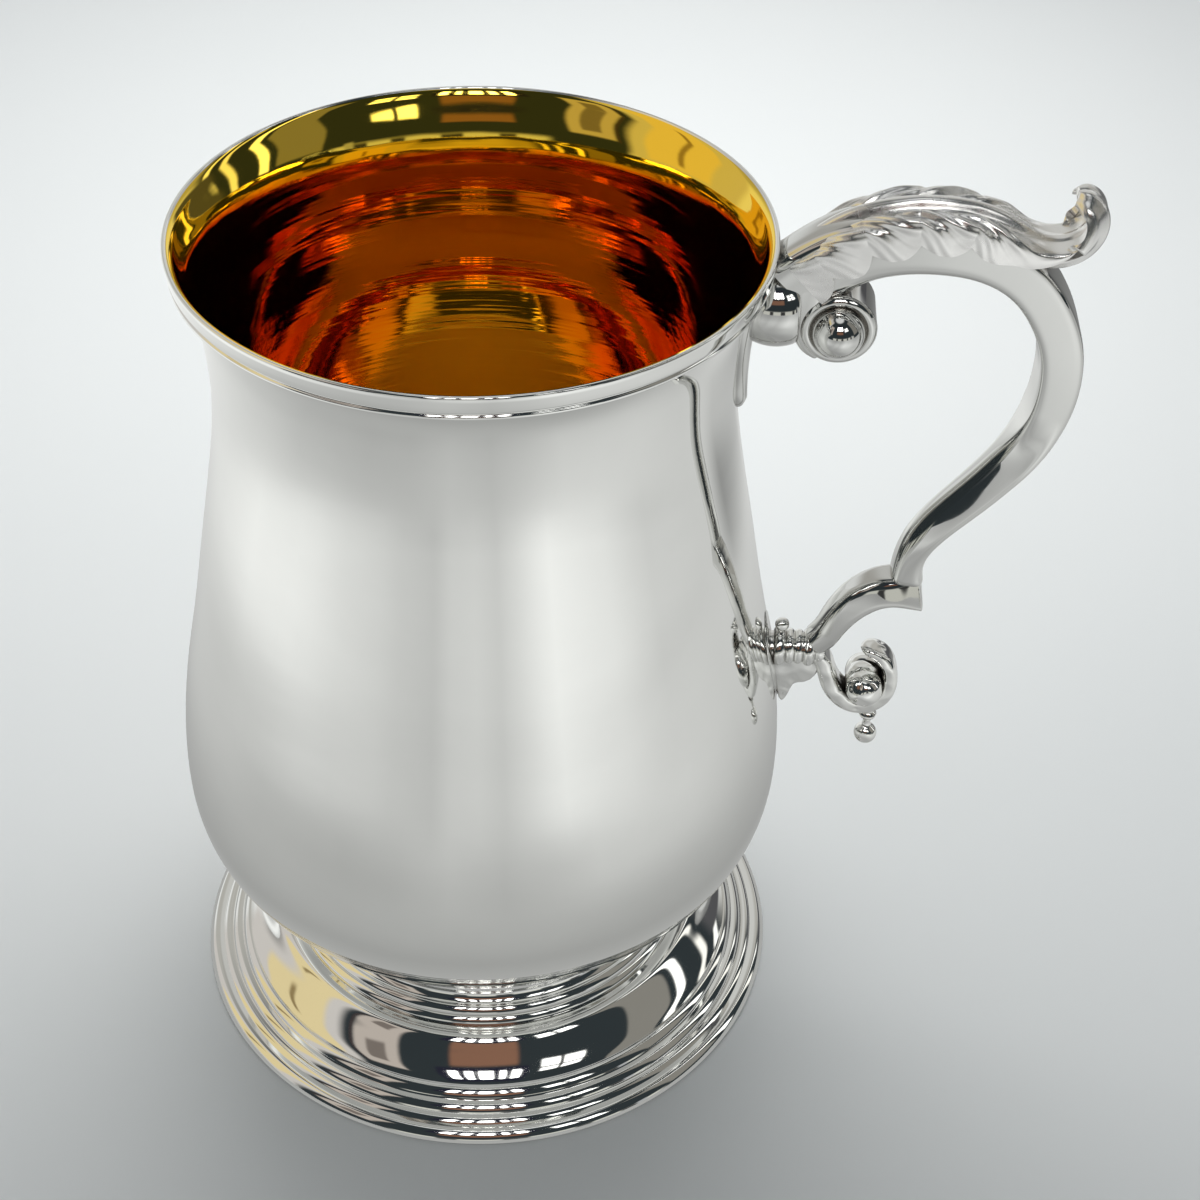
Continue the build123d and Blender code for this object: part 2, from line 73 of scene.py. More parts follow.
def arc(a, b, c, count=9):
    """Points of the circle's arc from a through b to c, without the last."""
    (ax, ay), (bx, by), (cx, cy) = a, b, c
    d = 2 * (ax * (by - cy) + bx * (cy - ay) + cx * (ay - by))
    ux = ((ax**2 + ay**2) * (by - cy) + (bx**2 + by**2) * (cy - ay) + (cx**2 + cy**2) * (ay - by)) / d
    uy = ((ax**2 + ay**2) * (cx - bx) + (bx**2 + by**2) * (ax - cx) + (cx**2 + cy**2) * (bx - ax)) / d
    r = math.hypot(ax - ux, ay - uy)
    t0, t1, t2 = (math.atan2(y - uy, x - ux) for x, y in (a, b, c))
    while t1 < t0:
        t1 += 2 * math.pi
    while t2 < t0:
        t2 += 2 * math.pi
    if t1 > t2:
        t2 -= 2 * math.pi
    return [(ux + r * math.cos(t), uy + r * math.sin(t)) for t in np.linspace(t0, t2, count)[:-1]]


def ease(x, a, b):
    t = np.clip((np.asarray(x, float) - a) / (b - a), 0, 1)
    return t * t * (3 - 2 * t)


# ---------------------------------------------------------------- the cup's own lines, as (radius, height)
BODY = [
    (40.8, 137.9), (40.2, 136.3), (39.45, 134.4), (38.75, 132.6), (38.0, 130.0), (37.4, 126.0), (37.0, 121.0),
    (36.87, 116.5), (37.05, 112.0), (37.6, 107.0), (38.7, 100.0), (39.6, 95.0), (41.4, 85.0), (43.2, 75.0),
    (45.2, 65.0), (46.7, 55.0), (47.2, 46.5), (46.7, 40.0), (44.9, 35.0), (41.1, 30.0), (36.2, 26.0),
    (31.0, 22.6), (25.6, 19.6),
]
BODY_LINE = spline(BODY, 190)
_order = np.argsort(BODY_LINE[:, 1])


def body_r(z):
    return np.interp(z, BODY_LINE[_order, 1], BODY_LINE[_order, 0])


def inset(line, by):
    d = np.gradient(line, axis=0)
    d /= np.linalg.norm(d, axis=1)[:, None]
    return line + np.stack([d[:, 1], -d[:, 0]], 1) * by


# ---------------------------------------------------------------- mesh makers: each gives (vertices in mm, faces)
def lathe(outline, axis="Z", centre=(0, 0, 0), turn=TURN):
    """A closed spun solid. The outline is a loop of (radius, height); if it begins and ends on the axis it closes there."""
    o = [(float(r), float(h)) for r, h in outline]
    on_axis = o[0][0] < 1e-6 and o[-1][0] < 1e-6
    ring = o[1:-1] if on_axis else o
    t = np.linspace(0, 2 * math.pi, turn, endpoint=False)
    c, s = np.cos(t), np.sin(t)
    verts, faces = [], []
    for r, h in ring:
        verts.append(np.stack([r * c, r * s, np.full(turn, h)], 1))
    v = np.concatenate(verts)
    rows = len(ring)
    for i in range(rows - 1 if on_axis else rows):
        j = (i + 1) % rows
        for k in range(turn):
            m = (k + 1) % turn
            faces.append((i * turn + k, i * turn + m, j * turn + m, j * turn + k))
    if on_axis:
        v = np.concatenate([v, [[0, 0, o[0][1]], [0, 0, o[-1][1]]]])
        first, last = len(v) - 2, len(v) - 1
        for k in range(turn):
            m = (k + 1) % turn
            faces.append((first, m, k))
            faces.append((last, (rows - 1) * turn + k, (rows - 1) * turn + m))
    if axis == "X":
        v = v[:, [2, 0, 1]]
    elif axis == "Y":
        v = v[:, [1, 2, 0]]
    return v + np.array(centre, float), faces


def grid(points, wrap_rows=False, wrap_cols=False):
    """Faces over an array of points (rows, columns, 3)."""
    rows, cols = points.shape[:2]
    faces = []
    for i in range(rows if wrap_rows else rows - 1):
        for j in range(cols if wrap_cols else cols - 1):
            a, b = (i + 1) % rows, (j + 1) % cols
            faces.append((i * cols + j, i * cols + b, a * cols + b, a * cols + j))
    return points.reshape(-1, 3), faces


def tube(rings):
    """A closed solid through rings (rows, columns, 3), with a fan on each end."""
    v, faces = grid(rings, wrap_cols=True)
    rows, cols = rings.shape[:2]
    v = np.concatenate([v, [rings[0].mean(0), rings[-1].mean(0)]])
    first, last = len(v) - 2, len(v) - 1
    for j in range(cols):
        b = (j + 1) % cols
        faces.append((first, b, j))
        faces.append((last, (rows - 1) * cols + j, (rows - 1) * cols + b))
    return v, faces


def plate(top, bottom):
    """A closed solid between two grids of the same shape."""
    rows, cols = top.shape[:2]
    v, faces = grid(top)
    w, under = grid(bottom)
    n = len(v)
    faces += [tuple(n + k for k in reversed(f)) for f in under]
    rim = (
        [(0, j) for j in range(cols)]
        + [(i, cols - 1) for i in range(1, rows)]
        + [(rows - 1, j) for j in range(cols - 2, -1, -1)]
        + [(i, 0) for i in range(rows - 2, 0, -1)]
    )
    ids = [i * cols + j for i, j in rim]
    for a, b in zip(ids, ids[1:] + ids[:1]):
        faces.append((a, n + a, n + b, b))
    return np.concatenate([v, w]), faces


def sweep(stations, count, sides=72, ends=(0.0, 0.0), lean=None):
    """A solid swept through stations (x, z, direction in degrees, half depth, half width, squareness) in the XZ plane.
    Squareness is a superellipse's power: 2 is an ellipse, and 8 a rectangle with tight corners.
    Lean is how much wider the section is on its outer side, as a share, at each of the sweep's rings."""
    s = spline(stations, count)
    t = np.linspace(0, 2 * math.pi, sides, endpoint=False)
    rings = []
    for k, (x, z, deg, depth, width, power) in enumerate(s):
        near = min(k, count - 1 - k)
        start = k < count / 2
        length = ends[0] if start else ends[1]
        f = 1.0
        if length and near < length:
            f = math.sqrt(max(1 - (1 - near / length) ** 2, 0.02))
        e = 2 / max(power, 1.6)
        c, q = np.cos(t), np.sin(t)
        share = np.sign(q) * np.abs(q) ** e
        a = np.sign(c) * np.abs(c) ** e * width * f * (1 + (lean[k] if lean is not None else 0) * share)
        b = share * depth * f
        g = math.radians(deg)
        rings.append(np.stack([x - math.sin(g) * b, a, z + math.cos(g) * b], 1))
    return np.array(rings)


def seat(v, depth=0.5):
    """Vertices that would come through the cup's wall are pulled back into its thickness."""
    v = v.copy()
    r = np.hypot(v[:, 0], v[:, 1])
    wall = np.where(v[:, 2] > 134.9, 41.0, body_r(v[:, 2]) - depth)
    low = r < wall
    v[low, :2] *= (wall / np.maximum(r, 1e-6))[low, None]
    return v


def join(*solids):
    verts, faces, n = [], [], 0
    for v, f in solids:
        verts.append(v)
        faces += [tuple(k + n for k in face) for face in f]
        n += len(v)
    return np.concatenate(verts), faces


def piece(name, solid, material, nodes, sharp=38):
    """A closed mesh piece that rides on the body and stands for the CAD nodes."""
    v, faces = solid
    mesh = bpy.data.meshes.new(name)
    mesh.from_pydata((np.asarray(v) * MM).tolist(), [], faces)
    import bmesh

    bm = bmesh.new()
    bm.from_mesh(mesh)
    bmesh.ops.remove_doubles(bm, verts=bm.verts, dist=1e-8)
    bmesh.ops.recalc_face_normals(bm, faces=bm.faces)
    bm.to_mesh(mesh)
    bm.free()
    for p in mesh.polygons:
        p.use_smooth = True
    mesh.set_sharp_from_angle(angle=math.radians(sharp))
    mesh.materials.append(material)
    obj = bpy.data.objects.new(name, mesh)
    bpy.context.scene.collection.objects.link(obj)
    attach(obj, "root")
    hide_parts(*nodes)
    return obj


# ---------------------------------------------------------------- materials
def node(tree, kind, **values):
    n = tree.nodes.new(kind)
    for key, value in values.items():
        if hasattr(n, key):
            setattr(n, key, value)
        else:
            n.inputs[key.replace("_", " ")].default_value = value
    return n


def metal(name, colour, crevice_colour, dark, rough, spin, wave=(38.0, 0.000035), lumps=None, satin_below=None, rings=None, deep_wall_shade=None):
    """Polished metal: soft roughness changes, fine polishing marks, a long faint ripple and a darker, rougher colour in
    the crevices, where the ambient occlusion node finds nearby surfaces.
    """
    mat = bpy.data.materials.new(name)
    mat.use_nodes = True
    t = mat.node_tree
    link = t.links.new
    shader = t.nodes["Principled BSDF"]
    shader.inputs["Metallic"].default_value = 1.0
    co = node(t, "ShaderNodeTexCoord")
    # clouds that change colour and roughness a little
    clouds = node(t, "ShaderNodeTexNoise", Scale=55.0, Detail=5.0, Roughness=0.6)
    link(co.outputs["Object"], clouds.inputs["Vector"])
    tone = node(t, "ShaderNodeValToRGB")
    tone.color_ramp.elements[0].position, tone.color_ramp.elements[1].position = 0.3, 0.7
    tone.color_ramp.elements[0].color = (*[c * 0.965 for c in colour], 1)
    tone.color_ramp.elements[1].color = (*colour, 1)
    link(clouds.outputs["Fac"], tone.inputs["Fac"])
    # crevices: darker and rougher where the ambient occlusion node finds surfaces close by
    ao = node(t, "ShaderNodeAmbientOcclusion", samples=6, only_local=False)
    ao.inputs["Distance"].default_value = 0.0016
    hollow = node(t, "ShaderNodeMapRange")
    hollow.inputs["From Min"].default_value = 0.15
    hollow.inputs["From Max"].default_value = 0.62
    hollow.inputs["To Min"].default_value = dark
    hollow.inputs["To Max"].default_value = 0.0
    link(ao.outputs["AO"], hollow.inputs["Value"])
    mix = node(t, "ShaderNodeMix", data_type="RGBA")
    link(hollow.outputs["Result"], mix.inputs[0])
    link(tone.outputs["Color"], mix.inputs[6])
    mix.inputs[7].default_value = (*crevice_colour, 1)
    if deep_wall_shade:
        # painted shade: the base colour is darkened and reddened on the deep wall, and left as it is at the lip and on
        # the floor
        where = node(t, "ShaderNodeSeparateXYZ")
        link(co.outputs["Object"], where.inputs["Vector"])
        level = node(t, "ShaderNodeMapRange")
        level.inputs["From Min"].default_value = 0.021
        level.inputs["From Max"].default_value = 0.138
        link(where.outputs["Z"], level.inputs["Value"])
        deep_wall_shade_ramp = node(t, "ShaderNodeValToRGB")
        deep_wall_shade_ramp.color_ramp.elements[0].position, deep_wall_shade_ramp.color_ramp.elements[1].position = 0.012, 0.93
        deep_wall_shade_ramp.color_ramp.elements[0].color = (1, 1, 1, 1)
        deep_wall_shade_ramp.color_ramp.elements[1].color = (1, 1, 1, 1)
        for at in (0.05, 0.87):
            stop = deep_wall_shade_ramp.color_ramp.elements.new(at)
            stop.color = (*deep_wall_shade, 1)
        link(level.outputs["Result"], deep_wall_shade_ramp.inputs["Fac"])
        times = node(t, "ShaderNodeMix", data_type="RGBA", blend_type="MULTIPLY")
        times.inputs[0].default_value = 1.0
        link(mix.outputs[2], times.inputs[6])
        link(deep_wall_shade_ramp.outputs["Color"], times.inputs[7])
        link(times.outputs[2], shader.inputs["Base Color"])
    else:
        link(mix.outputs[2], shader.inputs["Base Color"])
    # roughness
    fine = node(t, "ShaderNodeTexNoise", Scale=420.0, Detail=4.0, Roughness=0.65)
    link(co.outputs["Object"], fine.inputs["Vector"])
    both = node(t, "ShaderNodeMix", data_type="FLOAT")
    both.inputs[0].default_value = 0.45
    link(clouds.outputs["Fac"], both.inputs[2])
    link(fine.outputs["Fac"], both.inputs[3])
    rr = node(t, "ShaderNodeMapRange")
    rr.inputs["From Min"].default_value = 0.3
    rr.inputs["From Max"].default_value = 0.7
    rr.inputs["To Min"].default_value = rough[0]
    rr.inputs["To Max"].default_value = rough[1]
    link(both.outputs[0], rr.inputs["Value"])
    add = node(t, "ShaderNodeMath", operation="MULTIPLY_ADD")
    link(hollow.outputs["Result"], add.inputs[0])
    add.inputs[1].default_value = 0.3
    link(rr.outputs["Result"], add.inputs[2])
    last = add.outputs[0]
    if satin_below:
        # the cup's floor is left satin by the plating
        height = node(t, "ShaderNodeSeparateXYZ")
        link(co.outputs["Object"], height.inputs["Vector"])
        low = node(t, "ShaderNodeMapRange")
        low.inputs["From Min"].default_value = satin_below[0]
        low.inputs["From Max"].default_value = satin_below[1]
        low.inputs["To Min"].default_value = satin_below[2]
        low.inputs["To Max"].default_value = 0.0
        link(height.outputs["Z"], low.inputs["Value"])
        total = node(t, "ShaderNodeMath", operation="ADD")
        link(last, total.inputs[0])
        link(low.outputs["Result"], total.inputs[1])
        last = total.outputs[0]
        scatter = node(t, "ShaderNodeMapRange")
        scatter.inputs["From Min"].default_value = satin_below[0]
        scatter.inputs["From Max"].default_value = satin_below[1]
        scatter.inputs["To Min"].default_value = satin_below[3]
        scatter.inputs["To Max"].default_value = 1.0
        link(height.outputs["Z"], scatter.inputs["Value"])
        link(scatter.outputs["Result"], shader.inputs["Metallic"])
    link(last, shader.inputs["Roughness"])
    # ripple and polishing marks: stretched round the axis on spun pieces
    mapping = node(t, "ShaderNodeMapping")
    mapping.inputs["Scale"].default_value = (1.0, 1.0, spin)
    link(co.outputs["Object"], mapping.inputs["Vector"])
    ripple = node(t, "ShaderNodeTexNoise", Scale=wave[0], Detail=2.0, Roughness=0.5)
    link(mapping.outputs["Vector"], ripple.inputs["Vector"])
    marks = node(t, "ShaderNodeTexNoise", Scale=900.0, Detail=3.0, Roughness=0.7)
    link(mapping.outputs["Vector"], marks.inputs["Vector"])
    b1 = node(t, "ShaderNodeBump")
    b1.inputs["Strength"].default_value = 1.0
    b1.inputs["Distance"].default_value = wave[1]
    link(ripple.outputs["Fac"], b1.inputs["Height"])
    if lumps:
        cells = node(t, "ShaderNodeTexVoronoi", feature="SMOOTH_F1", Scale=lumps[0], Smoothness=0.6)
        link(co.outputs["Object"], cells.inputs["Vector"])
        b0 = node(t, "ShaderNodeBump")
        b0.inputs["Strength"].default_value = 1.0
        b0.inputs["Distance"].default_value = lumps[1]
        link(cells.outputs["Distance"], b0.inputs["Height"])
        link(b0.outputs["Normal"], b1.inputs["Normal"])
    if rings:
        # marks the spinning tool leaves in the wall, fading out in the flared lip
        turned = node(t, "ShaderNodeMapping")
        turned.inputs["Scale"].default_value = (rings[0], rings[0], rings[1])
        link(co.outputs["Object"], turned.inputs["Vector"])
        band = node(t, "ShaderNodeTexNoise", Scale=1.0, Detail=2.0, Roughness=0.55)
        link(turned.outputs["Vector"], band.inputs["Vector"])
        up = node(t, "ShaderNodeSeparateXYZ")
        link(co.outputs["Object"], up.inputs["Vector"])
        wane = node(t, "ShaderNodeMapRange")
        wane.inputs["From Min"].default_value = 0.124
        wane.inputs["From Max"].default_value = 0.131
        wane.inputs["To Min"].default_value = 1.0
        wane.inputs["To Max"].default_value = 0.04
        link(up.outputs["Z"], wane.inputs["Value"])
        base = node(t, "ShaderNodeMapRange")
        base.inputs["From Min"].default_value = 0.030
        base.inputs["From Max"].default_value = 0.046
        base.inputs["To Min"].default_value = 0.12
        base.inputs["To Max"].default_value = 1.0
        link(up.outputs["Z"], base.inputs["Value"])
        both_ends = node(t, "ShaderNodeMath", operation="MULTIPLY")
        link(wane.outputs["Result"], both_ends.inputs[0])
        link(base.outputs["Result"], both_ends.inputs[1])
        product = node(t, "ShaderNodeMath", operation="MULTIPLY")
        link(band.outputs["Fac"], product.inputs[0])
        link(both_ends.outputs[0], product.inputs[1])
        b3 = node(t, "ShaderNodeBump")
        b3.inputs["Strength"].default_value = 1.0
        b3.inputs["Distance"].default_value = rings[2]
        link(product.outputs[0], b3.inputs["Height"])
        link(b3.outputs["Normal"], b1.inputs["Normal"])
    b2 = node(t, "ShaderNodeBump")
    b2.inputs["Strength"].default_value = 0.5
    b2.inputs["Distance"].default_value = 0.0000012
    link(marks.outputs["Fac"], b2.inputs["Height"])
    link(b1.outputs["Normal"], b2.inputs["Normal"])
    link(b2.outputs["Normal"], shader.inputs["Normal"])
    return mat


SILVER = (0.893, 0.897, 0.876)
spun = metal("spun_pewter", SILVER, (0.30, 0.27, 0.24), 0.35, (0.025, 0.06), 2.2)
# painted shade: the handle's pewter is the spun pewter at 0.8 of its brightness, standing in for the darker
# surroundings its faces reflect
cast_shaded = metal("cast_pewter_shaded", tuple(0.80 * q for q in SILVER), (0.26, 0.235, 0.21), 0.7, (0.03, 0.07), 1.0, (45.0, 0.00003))
small = metal("small_castings", SILVER, (0.22, 0.20, 0.18), 0.85, (0.03, 0.07), 1.0, (260.0, 0.0001), (420.0, 0.00035))
chased = metal("chased_leaf", (0.88, 0.875, 0.86), (0.33, 0.31, 0.29), 0.75, (0.2, 0.32), 1.0, (220.0, 0.0001))
# the gilt's last colour is painted shade that darkens and reddens the deep inner wall
gilt = metal("gilt_interior", (0.97, 0.68, 0.09), (0.45, 0.18, 0.02), 0.25, (0.03, 0.06), 3.4, (60.0, 0.00005), None, (0.0213, 0.0226, 0.34, 0.12), (14.0, 520.0, 0.00008), (0.98, 0.80, 0.72))

# ---------------------------------------------------------------- cup
wall = inset(BODY_LINE, 1.0)
wall[:, 0] = np.maximum(wall[:, 0], 24.4)
lip = ease(BODY_LINE[:, 1], 132.5, 137.9)[:, None]
wall = wall * (1 - lip) + np.stack([BODY_LINE[:, 0] - 0.34, BODY_LINE[:, 1]], 1) * lip
gold = wall + (inset(BODY_LINE, 1.25) - inset(BODY_LINE, 1.0)) * (1 - 0.2 * lip)


def trimmed(line, top, floor):
    """The part of an inner line between the lip and the cup's floor."""
    return [(r, z) for r, z in line if floor + 0.15 < z < top]


body_outline = (
    [(0, 19.6)]
    + [(r, z) for r, z in BODY_LINE[::-1] if z < 137.55]
    + [(40.84, 137.62), (40.78, 137.74), (40.68, 137.78), (40.58, 137.72)]
    + trimmed(wall, 137.6, 20.8)
    + [(24.2, 20.85), (23.4, 20.8), (0, 20.8)]
)
piece("body_shell", lathe(body_outline), spun, ["vessel_body"])

gilt_outline = (
    [(0, 20.8), (23.4, 20.8), (24.2, 20.85)]
    + trimmed(wall, 137.56, 20.8)[::-1]
    + [(40.56, 137.68), (40.47, 137.76), (40.37, 137.68)]
    + trimmed(gold, 137.5, 21.3)
    + [(24.0, 21.35), (23.3, 21.12), (22.4, 21.05), (12.0, 21.05), (0, 21.05)]
)
piece("gilt_interior", lathe(gilt_outline), gilt, ["gilt_lining"])

band_outline = (
    [(40.62, 137.72)]
    + arc((40.68, 137.8), (40.98, 137.9), (41.22, 137.66), 10)
    + [(41.25, 137.55), (41.2, 137.1), (41.08, 136.3), (40.98, 135.6), (40.93, 135.42)]
    + arc((40.9, 135.38), (40.66, 135.24), (40.7, 135.02), 7)
    + arc((40.72, 134.98), (40.88, 134.8), (40.9, 134.6), 7)
    + arc((40.9, 134.56), (40.8, 134.36), (40.5, 134.3), 5)
    + [(40.1, 134.3), (39.6, 134.9), (39.9, 136.3)]
)
piece("lip_band", lathe(band_outline), spun, ["rim_band"])

# ---------------------------------------------------------------- foot
collar_outline = (
    [(23.2, 19.55), (28.2, 20.9), (28.9, 20.6), (29.3, 19.6)]
    + arc((29.9, 18.95), (31.45, 17.4), (30.3, 16.0), 14)
    + [(30.3, 16.0), (26.0, 16.0), (23.2, 18.4)]
)
piece("foot_ring", lathe(collar_outline), spun, ["foot_collar"])

foot_outline = (
    [(27.0, 16.0), (30.0, 16.0)]
    + arc((30.1, 15.9), (30.35, 15.0), (31.35, 14.1), 9)
    + [(31.4, 14.08), (31.6, 14.06)]
    + arc((31.7, 14.0), (32.2, 13.6), (32.52, 13.02), 8)
    + [(32.5, 12.92), (32.12, 12.64), (32.4, 12.58)]
    + arc((32.55, 12.52), (33.05, 12.1), (33.36, 11.5), 8)
    + [(33.32, 11.34)]
    + [(33.1, 11.15), (33.4, 11.12), (34.1, 11.12)]
    + [tuple(q) for q in spline([(34.6, 11.12), (35.3, 10.98), (36.0, 10.5), (36.7, 9.75), (37.5, 8.82), (38.3, 7.95), (39.2, 7.08), (40.1, 6.35), (40.8, 5.92)], 40)]
    + [(40.86, 5.7), (40.9, 5.35)]
    + [(40.95, 5.28), (41.15, 5.24)]
    + arc((41.22, 5.21), (41.87, 4.73), (42.32, 4.12), 9)
    + [(42.34, 4.04), (42.42, 3.98), (42.9, 3.94), (43.1, 3.92)]
    + arc((43.2, 3.89), (43.74, 3.5), (44.14, 2.98), 9)
    + [(44.16, 2.92), (44.24, 2.88), (44.7, 2.85), (44.9, 2.84)]
    + arc((45.0, 2.82), (45.42, 2.58), (45.76, 2.26), 8)
    + [(45.8, 2.2), (44.6, 2.2), (40.2, 3.6), (37.2, 5.8), (35.6, 8.6), (33.0, 9.9), (31.4, 10.4), (29.2, 13.2)]
)
piece("foot_spun", lathe(foot_outline), spun, ["foot"], sharp=32)

wire_outline = (
    [(45.4, 0.0), (47.4, 0.0)]
    + arc((47.7, 0.06), (48.13, 0.55), (48.12, 1.0), 8)
    + arc((48.09, 1.08), (47.62, 1.74), (46.98, 2.2), 9)
    + [(46.85, 2.23), (46.3, 2.24), (45.0, 2.24)]
)
piece("foot_wire", lathe(wire_outline), spun, ["foot_base_wire"])


# ---------------------------------------------------------------- plates under the two ends of the handle
def tongue(name, rows, thick, nodes):
    """A plate that hugs the body: rows of (height, half width), rounded across and towards its ends."""
    s = spline([(z, w) for z, w in rows], 70)
    cols = 41
    top, bottom = np.zeros((70, cols, 3)), np.zeros((70, cols, 3))
    span = abs(rows[0][0] - rows[-1][0])
    for i, (z, w) in enumerate(s):
        w = max(w, 0.02)
        for j in range(cols):
            a = math.sin((2 * j / (cols - 1) - 1) * math.pi / 2)
            y = a * w
            edge = (1 - abs(a) ** 4.0) ** 0.5
            fade = min(1.0, math.sqrt(max(min(abs(z - rows[-1][0]), abs(z - rows[0][0])) / (0.09 * span), 0.0)))
            r = body_r(z) + thick * edge * fade
            x = math.sqrt(max(r * r - y * y, 1))
            top[i, j] = (x, y, z)
            r = body_r(z) - 0.4
            bottom[i, j] = (math.sqrt(max(r * r - y * y, 1)), y, z)
    return piece(name, plate(top, bottom), cast_shaded, nodes)


tongue(
    "upper_plate",
    [(133.8, 6.0), (130.0, 6.3), (126.0, 6.15), (122.5, 5.3), (119.0, 4.1), (115.5, 3.2), (113.0, 2.6), (111.7, 1.6), (111.2, 0.05)],
    1.4,
    ["upper_escutcheon"],
)
tongue(
    "lower_plate",
    [(73.0, 0.05), (72.2, 1.7), (70.4, 3.3), (68.0, 4.1), (65.4, 4.1), (62.2, 3.4), (59.6, 2.2), (57.6, 1.0), (56.4, 0.05)],
    0.35,
    ["lower_escutcheon"],
)

# ---------------------------------------------------------------- upper socket
SX = 128.0
socket_outline = (
    [(0, 34.0), (5.1, 34.0), (5.15, 37.0)]
    + arc((5.2, 38.2), (5.9, 41.3), (5.45, 43.9), 22)
    + [(5.45, 43.9), (5.2, 44.3), (4.6, 44.5), (0, 44.5)]
)
v, f = lathe(socket_outline, "X", (0, 0, SX), 96)
piece("socket", (seat(v), f), cast_shaded, ["upper_socket"])

# ---------------------------------------------------------------- main scroll
SCROLL = [
    (43.6, 131.4, 47, 5.6, 3.7, 3.4), (47.2, 134.9, 41, 5.1, 3.8, 3.6), (51.2, 137.5, 26, 4.7, 4.0, 4.0),
    (56.8, 139.0, 8, 4.2, 4.2, 4.6), (63.0, 139.1, -6, 3.8, 4.3, 5.2), (69.0, 137.8, -22, 3.4, 4.3, 6.0),
    (74.0, 134.9, -41, 3.1, 4.3, 7.5), (77.8, 130.2, -60, 3.0, 4.25, 8.0), (80.2, 124.5, -75, 2.95, 4.2, 8.0),
    (80.8, 118.5, -91, 2.9, 4.1, 7.5), (80.2, 113.6, -103, 2.85, 4.0, 6.0), (78.6, 109.0, -115, 2.8, 3.9, 4.2),
    (75.6, 103.9, -124, 2.7, 3.7, 3.2), (72.0, 98.9, -128, 2.6, 3.5, 2.9), (68.0, 93.9, -126, 2.45, 3.3, 2.8),
    (65.2, 89.3, -113, 2.3, 3.1, 2.6), (64.1, 85.0, -96, 2.25, 2.95, 3.0), (64.2, 80.9, -88, 2.6, 3.1, 4.0),
]
along = np.linspace(0, 1, 260)
main = sweep(SCROLL, 260, 112, ends=(0, 5), lean=0.02 + 0.46 * ease(along, 0.6, 0.72) * (1 - 0.75 * ease(along, 0.88, 0.98)))
v, f = tube(main)
# the head is filled down to the volute
head = sweep(
    [
        (44.5, 134.4, -20, 0.6, 3.4, 3.0), (45.4, 132.4, -82, 2.2, 3.7, 3.6), (45.6, 129.6, -88, 2.5, 3.8, 3.8),
        (45.5, 126.2, -86, 2.0, 3.8, 3.8), (46.0, 123.4, -64, 1.5, 3.7, 3.4), (48.0, 121.5, -28, 0.8, 3.6, 2.8),
    ],
    60,
    64,
    ends=(4, 4),
)
hv, hf = tube(head)
solid = join((seat(v), f), (seat(hv), hf))
piece("main_scroll", solid, cast_shaded, ["handle_half_left", "handle_half_right"], sharp=50)

# ---------------------------------------------------------------- upper volute and its ball bosses
VX, VZ = 49.9, 126.5


def roll(cx, cz, radius, half, wind, lip_w, power=5.0):
    """A drum across the handle whose side faces carry a raised rim."""
    out = [(0, -half + 0.55)]
    out += [(radius - lip_w - 0.35, -half + 0.55), (radius - lip_w, -half + 0.3)]
    out += arc((radius - lip_w + 0.1, -half + 0.12), (radius - 0.5 * lip_w, -half), (radius - 0.3, -half + 0.22), 8)
    out += arc((radius - 0.3, -half + 0.22), (radius - 0.06, -half + 0.5), (radius, -half + 0.95), 6)
    out += [(radius, -half + 0.95)]
    out += [(r, -h) for r, h in out[::-1]]
    return lathe(out, "Y", (cx, 0, cz), 96)


def ball(cx, cz, side, base, radius, height, neck=0.4):
    """A ball boss on a side face, with a shallow groove round its foot."""
    pts = [(0, base - 0.6), (radius * 0.86, base - 0.6), (radius * 0.9, base + 0.05)]
    for k in range(1, 21):
        a = -0.28 + (math.pi / 2 + 0.28) * k / 20
        pts.append((radius * math.cos(a), base + neck + (height - neck) * math.sin(a)))
    pts[-1] = (0, base + height)
    v, f = lathe([(r, side * h) for r, h in pts], "Y", (cx, 0, cz), 72)
    return v, f


piece("volute_roll", roll(VX, VZ, 5.2, 4.3, 1, 1.3), cast_shaded, ["upper_volute"])
piece("volute_ball_left", ball(VX, VZ, 1, 3.8, 3.6, 4.2), cast_shaded, ["volute_boss_left"])
piece("volute_ball_right", ball(VX, VZ, -1, 3.8, 3.6, 4.2), cast_shaded, ["volute_boss_right"])


